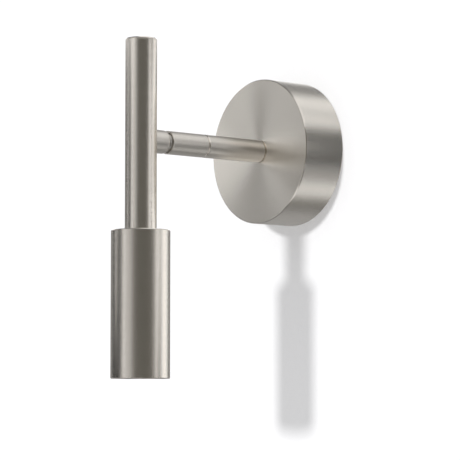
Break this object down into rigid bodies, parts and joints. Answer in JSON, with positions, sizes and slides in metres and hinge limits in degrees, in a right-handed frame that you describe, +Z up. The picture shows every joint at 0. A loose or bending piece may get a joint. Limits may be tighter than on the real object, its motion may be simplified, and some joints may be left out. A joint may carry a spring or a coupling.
{
  "type": "tube wall light",
  "caption": "Wall light with a round canopy, a straight arm and an upright tube stem that turns on the arm's end and ends in a wider cylindrical lamp head facing down.",
  "frame": {"origin": "centre of the canopy's wall face, on the axis of the arm, midway between the two wall screws", "axes": "+Y goes into the wall, +Z is up, +X is to the right for a person who faces the wall; the arm and the lamp stand out along -Y"},
  "size_m": [0.102, 0.1575, 0.2295],
  "materials": {
    "satin_nickel": "satin nickel, fine brushed",
    "zinc_steel": "bright zinc plated",
    "plain_steel": "turned, satin",
    "brass": "turned",
    "bronze": "sintered",
    "black_plastic": "moulded, fine matt",
    "black_rubber": "moulded",
    "white_plastic": "moulded",
    "ceramic": "unglazed steatite",
    "lamp_plastic": "moulded",
    "lens_glass": "clear",
    "silicone": "extruded"
  },
  "bodies": {
    "wall_side": {"canopy_cover": "satin_nickel", "cover_screws": "plain_steel", "mounting_plate": "zinc_steel", "cable_grommet": "black_rubber", "terminal_block": "white_plastic", "clamp_screws": "zinc_steel", "block_screw": "zinc_steel", "earth_screw": "brass", "earth_washer": "zinc_steel", "canopy_nipple": "zinc_steel", "canopy_washer": "zinc_steel", "canopy_nut": "zinc_steel", "arm_tube": "satin_nickel", "arm_base_plug": "brass", "arm_joiner": "brass", "swivel_barrel": "satin_nickel", "swivel_bush": "bronze", "friction_washer": "white_plastic", "stop_pin": "plain_steel", "arm_cable": "silicone"},
    "lamp_side": {"swivel_spindle": "plain_steel", "swivel_collar": "satin_nickel", "disc_spring": "plain_steel", "slotted_nuts": "plain_steel", "saddle_washer": "zinc_steel", "stem_nut": "zinc_steel", "stem_tube": "satin_nickel", "stem_cap": "satin_nickel", "stem_base_plug": "brass", "stem_cable": "silicone", "head_shell": "satin_nickel", "head_nipple": "zinc_steel", "head_washer": "zinc_steel", "head_nut": "zinc_steel", "holder_bracket": "zinc_steel", "holder_screws": "zinc_steel", "lamp_holder": "ceramic", "holder_contacts": "brass", "lamp_body": "lamp_plastic", "lamp_pins": "plain_steel", "lamp_lens": "lens_glass", "glare_baffle": "black_plastic"}
  },
  "joints": [
    {"name": "head_swivel", "type": "hinge", "parent": "wall_side", "child": "lamp_side", "pos_m": [0, -0.1155, 0], "axis": [0, 1, 0], "range_deg": [-165, 165]}
  ]
}
